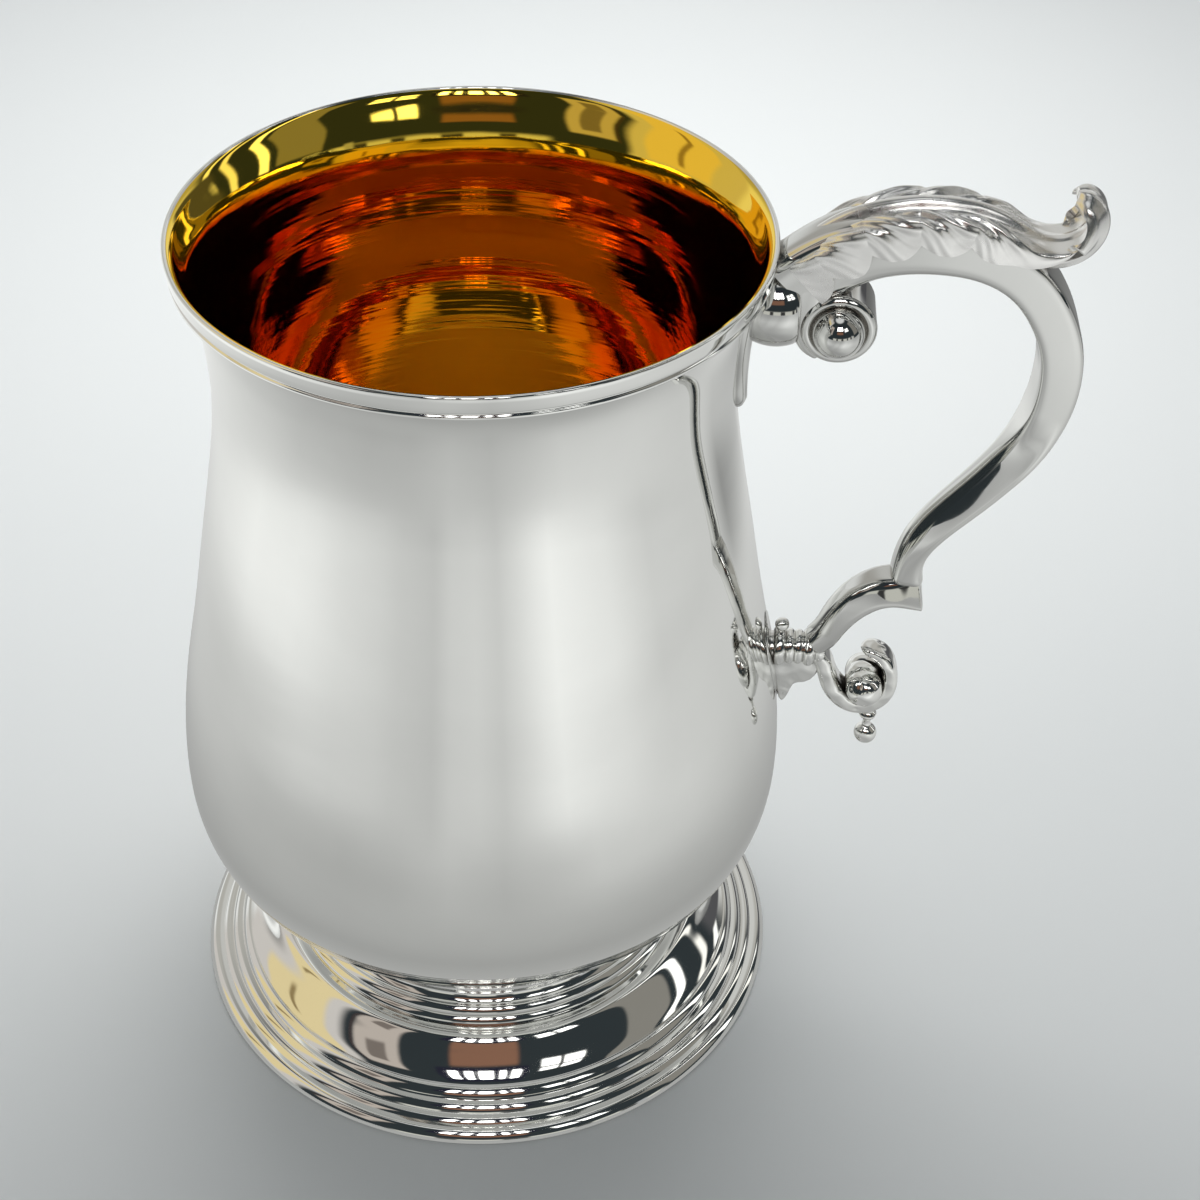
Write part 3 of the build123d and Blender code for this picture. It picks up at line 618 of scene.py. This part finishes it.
# ---------------------------------------------------------------- acanthus leaf and its curled tip
def leaf():
    rows, cols = 420, 141
    crest = spline(
        [
            (42.0, 136.2, 7.6, 4.5, 2.1), (45.0, 139.0, 7.3, 5.1, 2.2), (48.6, 141.8, 6.9, 5.35, 2.3),
            (53.2, 143.9, 6.4, 5.5, 2.4), (59.4, 145.1, 5.9, 5.6, 2.5), (64.2, 145.0, 5.5, 5.6, 2.5),
            (69.0, 143.9, 5.0, 5.5, 2.5), (73.0, 142.1, 4.2, 5.2, 2.9), (75.8, 140.9, 2.8, 4.9, 3.3),
            (78.2, 140.7, 1.0, 4.6, 3.2), (80.1, 141.7, -0.4, 4.2, 2.8), (80.9, 143.2, -0.9, 3.8, 2.4),
            (80.7, 144.8, -0.9, 3.3, 2.0), (79.8, 145.6, -0.7, 2.6, 1.6), (79.1, 145.7, -0.4, 1.5, 1.2),
        ],
        rows,
    )
    d = np.gradient(crest[:, :2], axis=0)
    d /= np.linalg.norm(d, axis=1)[:, None]
    normal = np.stack([-d[:, 1], d[:, 0]], 1)
    s = np.concatenate([[0], np.cumsum(np.linalg.norm(np.diff(crest[:, :2], axis=0), axis=1))])
    body = 36.0  # length of the part with lobes
    t = np.linspace(-1, 1, cols)
    a = np.abs(t)
    # across the leaf: share of the half width, and of the drop at the edge
    across = np.interp(a, [0, 0.1, 0.25, 0.45, 0.6, 0.72, 0.8, 0.9, 1.0], [0, 0.14, 0.34, 0.62, 0.81, 0.94, 0.985, 1.0, 0.97])
    drop = np.interp(a, [0, 0.1, 0.25, 0.45, 0.6, 0.72, 0.8, 0.9, 1.0], [0, 0.02, 0.05, 0.05, 0.08, 0.16, 0.3, 0.62, 1.0])
    k = np.ones(9) / 9
    pad = lambda q: np.convolve(np.pad(q, 4, mode="edge"), k, "valid")
    across, drop = pad(across), pad(drop)
    across, drop = across - across[cols // 2], drop - drop[cols // 2]
    top = np.zeros((rows, cols, 3))
    thick = np.zeros((rows, cols))
    lobes = 4.6
    sweep_back = 2.5  # how many lobes a stroke runs past on its way from the rib to the edge
    for i in range(rows):
        x, z, side, wide, th = crest[i]
        u = s[i] / body
        fade = 1 - ease(s[i], 31.0, 38.0)  # lobes die out in the curled tip
        edge_phase = (lobes * u - sweep_back) % 1.0
        scallop = 1 - fade * 0.10 * (1 - np.sin(np.pi * edge_phase**1.25) ** 0.8)
        yy = wide * across
        dd = side * drop
        # the lobes end at different heights
        cut = scallop
        yy_c = np.interp(a * cut, a[cols // 2 :], yy[cols // 2 :])
        dd_c = np.interp(a * cut, a[cols // 2 :], dd[cols // 2 :])
        p = lobes * u - sweep_back * a**0.95
        f = p % 1.0
        e = ease(a, 0.2, 0.45) * (1 - 0.35 * ease(a, 0.85, 1.0))
        ridge = np.sin(np.pi * f**1.3) ** 0.8
        flute = 0.5 + 0.5 * np.cos(2 * np.pi * 3 * f)
        h = fade * e * ((0.85 - 0.5 * ease(a, 0.55, 0.92)) * ridge + 0.18 * flute * (1 - 0.5 * ease(a, 0.6, 0.95)) - 0.4) * (0.5 + 0.5 * ease(s[i], 4, 17))
        rib = 0.75 * np.exp(-((a / 0.17) ** 4)) * (0.3 + 0.7 * fade) - 0.35 * np.exp(-(((a - 0.27) / 0.07) ** 2)) * fade
        n = normal[i]
        # the relief stands out along the leaf's own normal
        gy = np.gradient(yy_c * np.sign(t), t)
        gd = np.gradient(-dd_c, t)
        g = np.hypot(gy, gd) + 1e-9
        ny, nn = -gd / g, gy / g
        hh = h + rib
        y = yy_c * np.sign(t) + ny * hh
        w = -dd_c + nn * hh - 0.5
        top[i, :, 0] = x + n[0] * w
        top[i, :, 1] = y
        top[i, :, 2] = z + n[1] * w
        thick[i] = th * (1 - 0.62 * ease(a, 0.35, 0.8)) + 0.0
    # the underside is the top, relief and all, moved inwards along its smoothed normals
    du = np.gradient(top, axis=0)
    dt = np.gradient(top, axis=1)
    nrm = np.cross(dt, du)
    nrm /= np.linalg.norm(nrm, axis=2)[:, :, None] + 1e-12
    if nrm[100, cols // 2, 2] < 0:
        nrm = -nrm
    # smooth the normals used for the offset
    for _ in range(6):
        nrm[1:-1] = (nrm[:-2] + nrm[1:-1] * 2 + nrm[2:]) / 4
        nrm[:, 1:-1] = (nrm[:, :-2] + nrm[:, 1:-1] * 2 + nrm[:, 2:]) / 4
    nrm /= np.linalg.norm(nrm, axis=2)[:, :, None] + 1e-12
    bottom = top - nrm * thick[:, :, None]
    return plate(top, bottom)


v, f = leaf()
piece("acanthus", (seat(v), f), chased, ["acanthus_leaf", "thumb_scroll"], sharp=60)

# ---------------------------------------------------------------- lower collar, knob and drop
CZ = 66.6
collar = (
    [(0, 40.0), (2.3, 40.0), (2.3, 45.2)]
    + arc((2.35, 45.3), (3.1, 46.2), (2.45, 47.1), 12)
    + arc((2.4, 47.2), (2.8, 47.9), (2.35, 48.5), 10)
    + arc((2.35, 48.55), (2.75, 49.2), (2.3, 49.85), 10)
    + arc((2.35, 49.95), (3.0, 50.8), (2.3, 51.65), 12)
    + [(2.25, 51.75), (2.45, 52.1), (2.5, 52.6), (2.2, 53.1), (0, 53.2)]
)
v, f = lathe(collar, "X", (0, 0, CZ), 72)
piece("collar_rings", (seat(v), f), small, ["lower_collar"])

knob = [(0, 67.5), (0.5, 67.5), (0.46, 69.6), (0.62, 69.8)]
for k in range(1, 17):
    a = -0.95 + (math.pi / 2 + 0.95) * k / 16
    knob.append((1.1 * math.cos(a), 70.9 + 1.1 * math.sin(a)))
knob[-1] = (0, 72.0)
piece("knob", lathe(knob, "Z", (46.4, 0, 0), 48), small, ["collar_knob"])


def slab(outline, half, count=130, rounding=0.5, bulge=0.0, centre=None):
    """A flat shape in the XZ plane given thickness across Y, with rounded edges."""
    o = np.asarray(outline, float)
    loop = spline(np.concatenate([o, o[:1]]), count)[:-1] if count else o
    c = np.array(centre if centre is not None else loop.mean(0))
    rings = []
    for a in np.linspace(-math.pi / 2, math.pi / 2, 15):
        y = half * math.sin(a) if bulge else (half - rounding) * np.sign(math.sin(a)) + rounding * math.sin(a)
        shrink = rounding * (1 - math.cos(a))
        d = loop - c
        length = np.linalg.norm(d, axis=1)[:, None]
        ring = c + d * np.maximum(length - shrink, 0.05) / length
        rings.append(np.stack([ring[:, 0], np.full(len(ring), y), ring[:, 1]], 1))
    return tube(np.array(rings))


drop = slab(
    [
        (45.2, 66.4), (48.5, 66.6), (51.9, 66.2), (52.7, 63.9), (52.1, 61.6), (50.6, 60.3), (49.2, 59.9),
        (48.5, 58.6), (47.3, 56.2), (46.3, 58.6), (45.5, 61.0), (45.1, 63.6),
    ],
    1.5,
    140,
    0.7,
)
piece("drop", (seat(drop[0]), drop[1]), small, ["collar_drop"])

# ---------------------------------------------------------------- lower scroll with its stepped shoulder
ARM = [
    (66.6, 80.5, -168, 2.6, 3.4, 9.0), (65.0, 80.5, -170, 2.45, 3.35, 8.0), (63.3, 80.3, -171, 2.25, 3.25, 6.0),
    (60.7, 79.8, -160, 2.2, 3.2, 5.0), (57.9, 78.1, -139, 2.2, 3.1, 4.6), (55.6, 75.4, -122, 2.1, 3.0, 4.2),
    (54.0, 72.4, -117, 2.0, 2.8, 3.8), (52.7, 69.6, -126, 2.0, 2.6, 3.2), (51.2, 67.6, -140, 2.0, 2.4, 2.6),
]
arm = sweep(ARM, 150, 80, ends=(3, 5), lean=0.26 * (1 - ease(np.linspace(0, 1, 150), 0.8, 1.0)))
piece("lower_arm", tube(arm), cast_shaded, ["lower_scroll"], sharp=50)

# ---------------------------------------------------------------- tail: a ribbon that curls round two ball bosses
TX, TZ = 59.9, 60.6
TAIL = [
    (51.9, 66.6, -60, 1.2, 2.2, 3.0), (53.2, 64.4, -68, 1.35, 2.4, 3.2), (54.2, 61.4, -66, 1.45, 2.55, 3.4),
    (55.8, 58.6, -48, 1.5, 2.7, 3.6), (58.6, 56.7, -16, 1.45, 2.7, 3.6), (61.6, 57.2, 28, 1.35, 2.7, 3.6),
    (63.5, 59.7, 70, 1.25, 2.65, 3.4), (63.7, 62.7, 101, 1.2, 2.5, 3.2), (62.8, 65.3, 124, 1.1, 2.35, 3.0),
    (61.2, 66.8, 150, 0.95, 2.1, 2.8), (59.7, 67.2, 172, 0.75, 1.7, 2.6), (58.8, 67.2, 180, 0.5, 1.2, 2.4),
]
ribbon = tube(sweep(TAIL, 170, 72, ends=(4, 6)))
drum = [(0, -1.7), (2.2, -1.7), (2.6, -1.2), (2.7, 0), (2.6, 1.2), (2.2, 1.7), (0, 1.7)]
v, f = lathe(drum, "Y", (TX - 0.3, 0, TZ + 0.2), 72)
piece("tail_ribbon", join(ribbon, (v, f)), small, ["tail_scroll"], sharp=50)
piece("tail_ball_left", ball(TX, TZ, 1, 1.5, 2.9, 3.5), small, ["tail_boss_left"])
piece("tail_ball_right", ball(TX, TZ, -1, 1.5, 2.9, 3.5), small, ["tail_boss_right"])

pip = [(0, 47.6)]
for k in range(1, 17):
    a = -math.pi / 2 + (math.pi / 2 + 1.12) * k / 16
    pip.append((1.8 * math.cos(a), 49.4 + 1.8 * math.sin(a)))
pip += [(0.62, 51.4), (0.6, 52.4), (0.8, 52.8), (1.25, 53.1), (1.42, 53.5), (1.3, 53.9), (0.95, 54.2), (1.2, 55.0), (1.2, 56.4), (0, 56.4)]
piece("pip", lathe(pip, "Z", (61.2, 0, 0), 48), small, ["tail_pip"])

# ---------------------------------------------------------------- studio: floor, a painted room and a painted copy of the floor that glow only in the metal's reflections, lights
SETTINGS = bpy.context.scene.view_settings
SETTINGS.view_transform = "Standard"
SETTINGS.look = "None"
bpy.context.scene.cycles.max_bounces = 16
bpy.context.scene.cycles.glossy_bounces = 6
bpy.context.scene.cycles.use_denoising = True

side = 8.0
mesh = bpy.data.meshes.new("studio_floor")
mesh.from_pydata([(-side, -side, 0), (side, -side, 0), (side, side, 0), (-side, side, 0)], [], [(0, 1, 2, 3)])
floor = bpy.data.objects.new("studio_floor", mesh)
bpy.context.scene.collection.objects.link(floor)
paper = bpy.data.materials.new("pale_paper")
paper.use_nodes = True
tree = paper.node_tree
shader = tree.nodes["Principled BSDF"]
shader.inputs["Roughness"].default_value = 0.75
shader.inputs["Specular IOR Level"].default_value = 0.1
tc = node(tree, "ShaderNodeTexCoord")
grain = node(tree, "ShaderNodeTexNoise", Scale=3.0, Detail=3.0)
ramp = node(tree, "ShaderNodeValToRGB")
ramp.color_ramp.elements[0].position, ramp.color_ramp.elements[1].position = 0.35, 0.65
ramp.color_ramp.elements[0].color = (0.775, 0.80, 0.805, 1)
ramp.color_ramp.elements[1].color = (0.80, 0.822, 0.828, 1)
tree.links.new(tc.outputs["Object"], grain.inputs["Vector"])
tree.links.new(grain.outputs["Fac"], ramp.inputs["Fac"])
tree.links.new(ramp.outputs["Color"], shader.inputs["Base Color"])
mesh.materials.append(paper)


def painted_reflection_room(az, el):
    """Brightness and colour of the painted room that glows only in the metal's reflections, by direction. Azimuth 0 is
    the camera's side and 90 is +X; elevation is above the floor.
    """
    c = np.zeros((*az.shape, 3))

    def put(a0, a1, e0, e1, colour, soft_a=3.0, soft_e=2.5):
        wa = ease(az, a0 - soft_a, a0 + soft_a) * (1 - ease(az, a1 - soft_a, a1 + soft_a))
        we = ease(el, e0 - soft_e, e0 + soft_e) * (1 - ease(el, e1 - soft_e, e1 + soft_e))
        w = (wa * we)[..., None]
        c[:] = c * (1 - w) + np.array(colour) * w

    # unlit part of the studio, on the camera's side and overhead
    c[:] = (0.03, 0.038, 0.042)
    # far side: pale backdrop that greys off overhead
    for a0, a1 in ((134, 200), (-200, -116)):
        put(a0, a1, -8, 54, (0.46, 0.45, 0.42), soft_a=7, soft_e=10)
        put(a0, a1, -8, 16, (0.84, 0.85, 0.84), soft_a=7, soft_e=8)
    put(158, 200, 22, 60, (0.62, 0.62, 0.60), soft_a=10, soft_e=6)
    put(-200, -158, 22, 60, (0.62, 0.62, 0.60), soft_a=10, soft_e=6)
    put(122, 152, -8, 13, (0.09, 0.09, 0.095), soft_a=3, soft_e=3)
    # low bright band behind the camera, broken by posts
    put(-26, 66, -8, 9, (0.66, 0.66, 0.60), soft_a=3, soft_e=2)
    put(-75, -62, -8, 9, (0.5, 0.5, 0.46), soft_a=3, soft_e=2)
    for a0, a1 in ((-12, -5), (10, 19), (34, 40), (50, 58)):
        put(a0, a1, -3, 9, (0.05, 0.05, 0.05), soft_a=1, soft_e=1.5)
    # brown cloth beside the camera
    put(-12, 19, 27, 38, (0.25, 0.128, 0.082), soft_a=1.5, soft_e=2)
    # left: pale panel with a dark frame, then a broad warm wall
    put(-56, -35, 20, 52, (0.52, 0.46, 0.41), soft_a=1.5, soft_e=2)
    put(-50, -41, 27, 43, (0.20, 0.17, 0.15), soft_a=1, soft_e=1.5)
    put(-58, -56.5, 18, 54, (0.05, 0.04, 0.04), soft_a=0.6, soft_e=1)
    put(-122, -62, 0, 66, (0.62, 0.59, 0.56), soft_a=3, soft_e=5)
    put(-104, -70, 8, 56, (0.78, 0.65, 0.36), soft_a=2, soft_e=3)
    put(-89, -86, 14, 36, (0.30, 0.22, 0.10), soft_a=1, soft_e=3)
    # right: white strips, a grey door and black gaps
    put(30, 50, 36, 49, (2.4, 2.4, 2.35), soft_a=0.8, soft_e=1)
    put(38.5, 40.5, 35, 50, (0.04, 0.04, 0.04), soft_a=0.5, soft_e=1)
    put(29, 52, 42.5, 44, (0.06, 0.06, 0.06), soft_a=1, soft_e=0.5)
    put(56, 60, -2, 12, (0.42, 0.43, 0.44), soft_a=1, soft_e=2)
    put(70, 92, 10, 60, (0.25, 0.24, 0.215), soft_a=1, soft_e=2)
    put(96, 101, 8, 64, (1.8, 1.8, 1.75), soft_a=0.7, soft_e=2)
    put(113, 117, 4, 50, (1.2, 1.18, 1.1), soft_a=1, soft_e=3)
    put(124, 128, 14, 60, (1.3, 1.3, 1.25), soft_a=1, soft_e=3)
    # painted soft light overhead
    put(-220, 220, 75, 110, (0.8, 0.81, 0.81), soft_a=1, soft_e=4)
    # a row of window panes high on the camera's side
    put(-19, 24, 39.5, 64, (0.02, 0.02, 0.035), soft_a=1.5, soft_e=1)
    for a0, a1 in ((-13.6, -9.2), (-5.8, -2.2), (0.8, 7.4), (10.8, 13.4), (16.6, 20.6)):
        put(a0, a1, 42.5, 58.0, (6.5, 6.5, 6.4), soft_a=0.35, soft_e=0.5)
    return c


na, ne = 720, 190
azs = np.linspace(-180, 180, na + 1)[:-1]
els = np.linspace(-6, 89.5, ne)
A, E = np.meshgrid(azs, els)
R = 5.0
ar, er = np.radians(A), np.radians(E)
pos = np.stack([R * np.sin(ar) * np.cos(er), -R * np.cos(ar) * np.cos(er), R * np.sin(er)], 2)
v, f = grid(pos, wrap_cols=True)
mesh = bpy.data.meshes.new("studio_room_painted_reflection")
mesh.from_pydata(v.tolist(), [], f)
colours = painted_reflection_room(A, E).reshape(-1, 3)
layer = mesh.color_attributes.new("room_light", "FLOAT_COLOR", "POINT")
layer.data.foreach_set("color", np.concatenate([colours, np.ones((len(colours), 1))], 1).astype(np.float32).ravel())
dome = bpy.data.objects.new("studio_room_painted_reflection", mesh)
bpy.context.scene.collection.objects.link(dome)
# painted reflection of the paper: a glowing copy seen only in the metal's reflections, with painted shade under the cup
# and painted lanes of soft light and shade
lit_at = [40, 60, 72, 90, 110, 150, 200, 250, 320, 450, 600, 900, 2000, 9000]
lit = [0.46, 0.41, 0.385, 0.44, 0.485, 0.55, 0.655, 0.72, 0.735, 0.66, 0.60, 0.55, 0.50, 0.55]
# multipliers that paint lanes of light and shade into the paper's reflection, far from the cup and near it
far_at = [-180, -150, -115, -89, -80, -65, -57, -45, -30, -23, -10, -4, 5, 13, 20, 28, 33, 40, 55, 66, 74, 99, 112, 122, 150, 164, 180]
far_shade_lanes = [1.3, 1.36, 1.33, 1.40, 1.35, 1.29, 1.22, 1.08, 0.96, 0.88, 0.81, 0.93, 0.97, 0.90, 1.05, 1.25, 1.34, 1.29, 1.18, 1.03, 0.94, 0.93, 0.95, 0.32, 0.32, 1.2, 1.3]
near_at = [-180, -120, -85, -69, -54, -37, -20, -4, 12, 26, 41, 57, 75, 100, 140, 180]
near_shade_lanes = [1.2, 1.2, 1.05, 0.95, 0.92, 0.87, 0.89, 0.99, 0.92, 1.04, 1.2, 1.21, 1.2, 1.1, 1.15, 1.2]
rho = np.concatenate([np.linspace(0, 400, 81), np.linspace(420, 9000, 80)])
aa = np.linspace(-180, 180, 241)[:-1]
AA, RR = np.meshgrid(aa, rho)
near_f = 1 + (np.interp(AA, near_at, near_shade_lanes) - 1) * ease(RR, 85, 135)
far_f = np.interp(AA, far_at, far_shade_lanes)
blend = ease(RR, 150, 225)
light = np.interp(RR, lit_at, lit) * (near_f * (1 - blend) + far_f * blend)
pos = np.stack([RR * np.sin(np.radians(AA)), -RR * np.cos(np.radians(AA)), np.zeros_like(RR) + 0.12], 2) * MM
v2, f2 = grid(pos, wrap_cols=True)
mesh2 = bpy.data.meshes.new("paper_painted_reflection")
mesh2.from_pydata(v2.tolist(), [], f2)
tint = light.reshape(-1, 1) * np.array([[0.99, 1.0, 0.985]])
layer = mesh2.color_attributes.new("room_light", "FLOAT_COLOR", "POINT")
layer.data.foreach_set("color", np.concatenate([tint, np.ones((len(tint), 1))], 1).astype(np.float32).ravel())
painted_paper = bpy.data.objects.new("paper_painted_reflection", mesh2)
bpy.context.scene.collection.objects.link(painted_paper)
glow = bpy.data.materials.new("room_glow")
glow.use_nodes = True
tree = glow.node_tree
tree.nodes.clear()
attr = node(tree, "ShaderNodeAttribute", attribute_name="room_light")
em = node(tree, "ShaderNodeEmission")
out = node(tree, "ShaderNodeOutputMaterial")
tree.links.new(attr.outputs["Color"], em.inputs["Color"])
tree.links.new(em.outputs["Emission"], out.inputs["Surface"])
# the painted room and the painted paper glow only for the metal's reflections
for m, o in ((mesh, dome), (mesh2, painted_paper)):
    m.materials.append(glow)
    o.visible_camera = False
    o.visible_diffuse = False
    o.visible_shadow = False
    o.visible_transmission = False
    o.visible_volume_scatter = False
floor.visible_glossy = False

world = bpy.data.worlds.new("studio_world")
bpy.context.scene.world = world
world.use_nodes = True
bg = world.node_tree.nodes["Background"]
bg.inputs["Color"].default_value = (0.93, 0.965, 0.98, 1)
bg.inputs["Strength"].default_value = 0.31


def area(name, where, target, size, power, colour=(1, 1, 1), size_y=None):
    data = bpy.data.lights.new(name, "AREA")
    data.energy, data.color = power, colour
    data.shape = "RECTANGLE"
    data.size, data.size_y = size, size_y or size
    obj = bpy.data.objects.new(name, data)
    bpy.context.scene.collection.objects.link(obj)
    obj.location = where
    obj.rotation_mode = "QUATERNION"
    obj.rotation_quaternion = (Vector(target) - Vector(where)).to_track_quat("-Z", "Y")
    obj.visible_glossy = False
    obj.visible_camera = False
    return obj


area("key_behind", (0.0, 0.24, 0.34), (0.0, 0.235, 0), 0.35, 1.33, (1.0, 0.995, 0.98))
area("fill_left", (-0.50, 0.30, 0.42), (-0.12, 0.16, 0), 0.4, 0.17, (0.99, 0.995, 1.0))

# ---------------------------------------------------------------- camera at the object's three-quarter view from above
yaw, pitch, tilt = math.radians(-2.78), math.radians(39.78), math.radians(1.38)
fw = Vector((math.sin(yaw) * math.cos(pitch), math.cos(yaw) * math.cos(pitch), -math.sin(pitch)))
rt = Vector((math.cos(yaw), -math.sin(yaw), 0))
up = rt.cross(fw)
rt2 = math.cos(tilt) * rt + math.sin(tilt) * up
up2 = -math.sin(tilt) * rt + math.cos(tilt) * up
cam_data = bpy.data.cameras.new("camera")
cam_data.lens, cam_data.sensor_width = 63.0, 36.0
cam_data.clip_start, cam_data.clip_end = 0.01, 50
cam = bpy.data.objects.new("camera", cam_data)
bpy.context.scene.collection.objects.link(cam)
m = Matrix((rt2, up2, -fw)).transposed().to_4x4()
m.translation = Vector((30.3, -246.9, 279.5)) * MM
cam.matrix_world = m
bpy.context.scene.camera = cam
